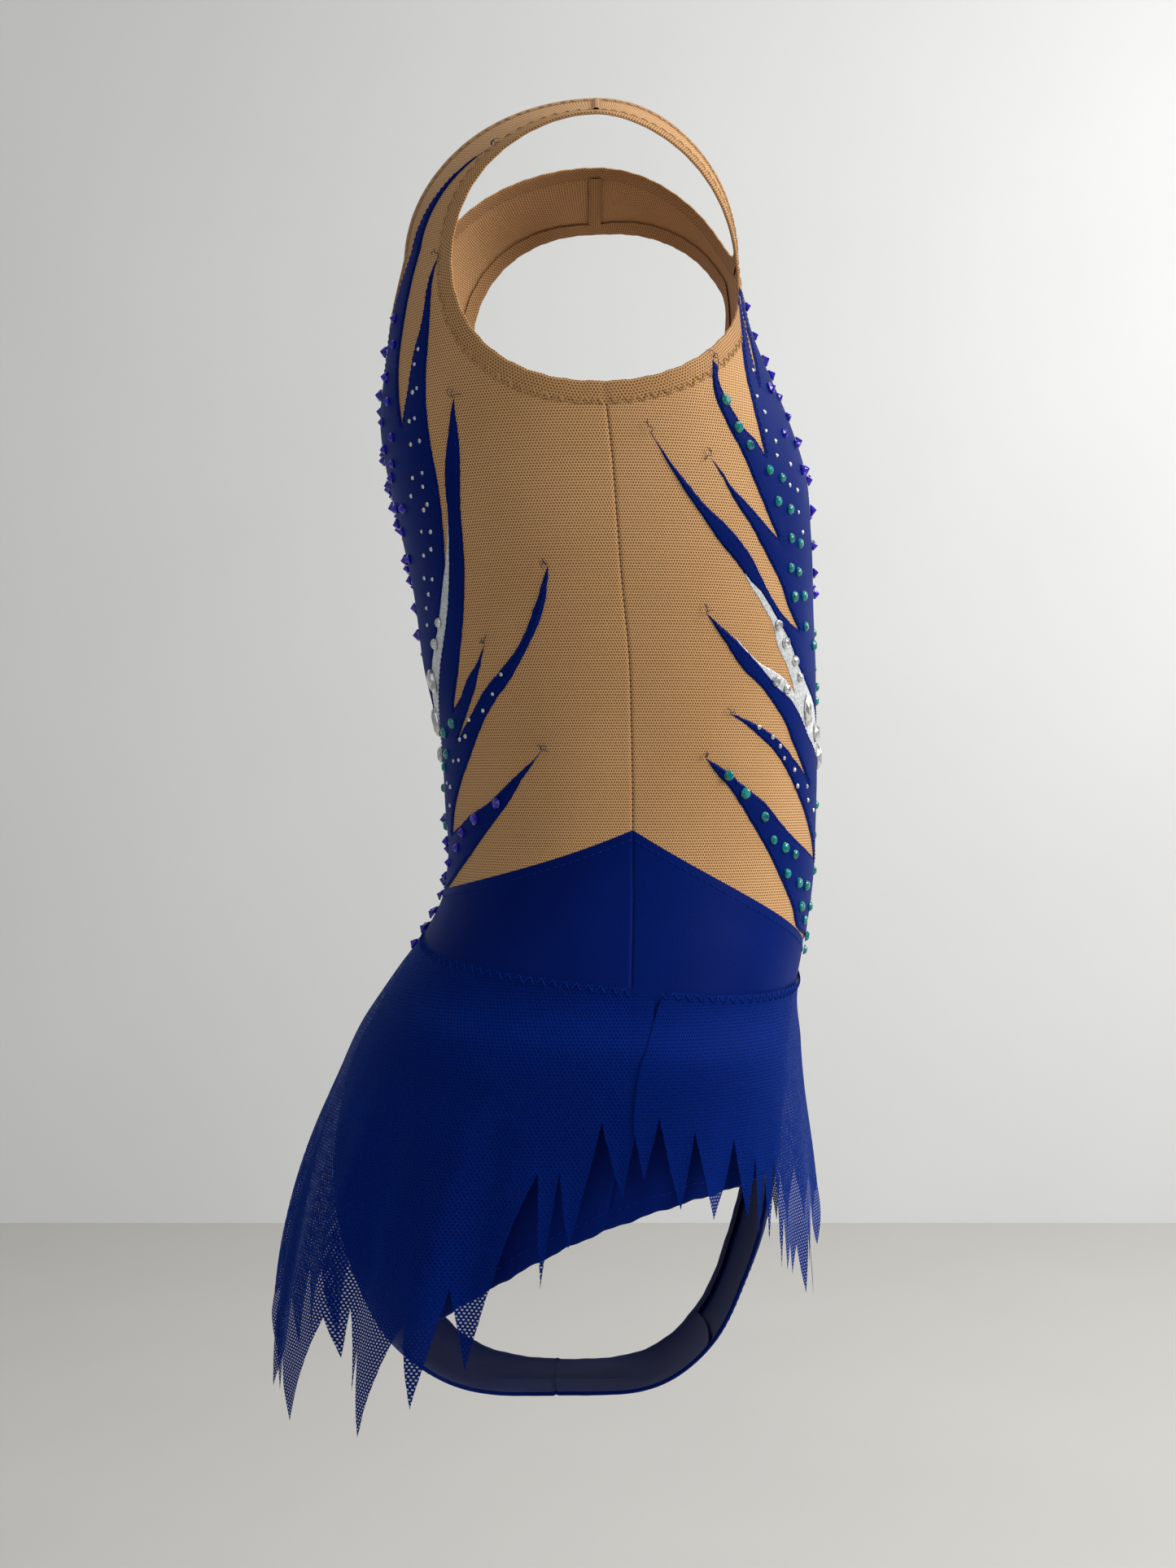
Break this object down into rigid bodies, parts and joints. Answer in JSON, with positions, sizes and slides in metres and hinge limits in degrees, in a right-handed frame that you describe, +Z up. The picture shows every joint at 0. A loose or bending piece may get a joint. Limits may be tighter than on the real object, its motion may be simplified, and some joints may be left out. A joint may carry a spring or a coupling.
{
  "type": "rhythmic gymnastics leotard",
  "caption": "Sleeveless child-size rhythmic gymnastics leotard with flame appliques, crystal trim and a jagged two-panel skirt.",
  "frame": {"origin": "midpoint between the crests of the two shoulder straps", "axes": "+Z up, +X to the wearer's left, front of the garment faces -Y"},
  "size_m": [0.261, 0.2401, 0.5511],
  "materials": {
    "power_mesh": "nude power mesh with a small hexagonal hole pattern",
    "blue_lycra": "royal blue lycra with a soft satin sheen",
    "blue_stretch_mesh": "fine see-through blue stretch mesh",
    "silver_glitter": "silver glitter cloth",
    "clear_crystal": "cut, foil-backed crystal"
  },
  "bodies": {
    "root": {"bodice_front": "power_mesh", "bodice_back": "power_mesh", "neck_binding": "power_mesh", "armhole_binding_left": "power_mesh", "armhole_binding_right": "power_mesh", "side_seam_left": "power_mesh", "side_seam_right": "power_mesh", "shoulder_seam_left": "power_mesh", "shoulder_seam_right": "power_mesh", "brief_front": "blue_lycra", "brief_back": "blue_lycra", "gusset_lining": "blue_lycra", "leg_hem_left": "blue_lycra", "leg_hem_right": "blue_lycra", "brief_seam_left": "blue_lycra", "brief_seam_right": "blue_lycra", "front_flame_upper": "blue_lycra", "front_flame_lower": "blue_lycra", "back_flame_upper": "blue_lycra", "back_flame_lower": "blue_lycra", "front_silver_insert": "silver_glitter", "back_silver_insert": "silver_glitter", "skirt_front_upper": "blue_stretch_mesh", "skirt_back_upper": "blue_stretch_mesh", "crystal_front_left_1": "clear_crystal", "crystal_front_left_2": "clear_crystal", "crystal_front_left_3": "clear_crystal", "crystal_front_left_4": "clear_crystal", "crystal_front_left_5": "clear_crystal", "crystal_front_left_6": "clear_crystal", "crystal_front_left_7": "clear_crystal", "crystal_front_left_8": "clear_crystal", "crystal_front_left_9": "clear_crystal", "crystal_front_right_1": "clear_crystal", "crystal_front_right_2": "clear_crystal", "crystal_front_right_3": "clear_crystal", "crystal_front_right_4": "clear_crystal", "crystal_front_right_5": "clear_crystal", "crystal_front_right_6": "clear_crystal", "crystal_front_right_7": "clear_crystal", "crystal_front_right_8": "clear_crystal", "crystal_front_right_9": "clear_crystal", "crystal_back_left_1": "clear_crystal", "crystal_back_left_2": "clear_crystal", "crystal_back_left_3": "clear_crystal", "crystal_back_left_4": "clear_crystal", "crystal_back_left_5": "clear_crystal", "crystal_back_right_1": "clear_crystal", "crystal_back_right_2": "clear_crystal", "crystal_back_right_3": "clear_crystal", "crystal_back_right_4": "clear_crystal", "crystal_back_right_5": "clear_crystal"},
    "skirt_front": {"skirt_front_lower": "blue_stretch_mesh"},
    "skirt_back": {"skirt_back_lower": "blue_stretch_mesh"}
  },
  "joints": [
    {"name": "skirt_back_swing", "type": "hinge", "parent": "root", "child": "skirt_back", "pos_m": [0, 0.098, -0.3785], "axis": [1, 0, 0], "range_deg": [0, 60]},
    {"name": "skirt_front_swing", "type": "hinge", "parent": "root", "child": "skirt_front", "pos_m": [0, -0.088, -0.3785], "axis": [-1, 0, 0], "range_deg": [0, 60]}
  ]
}
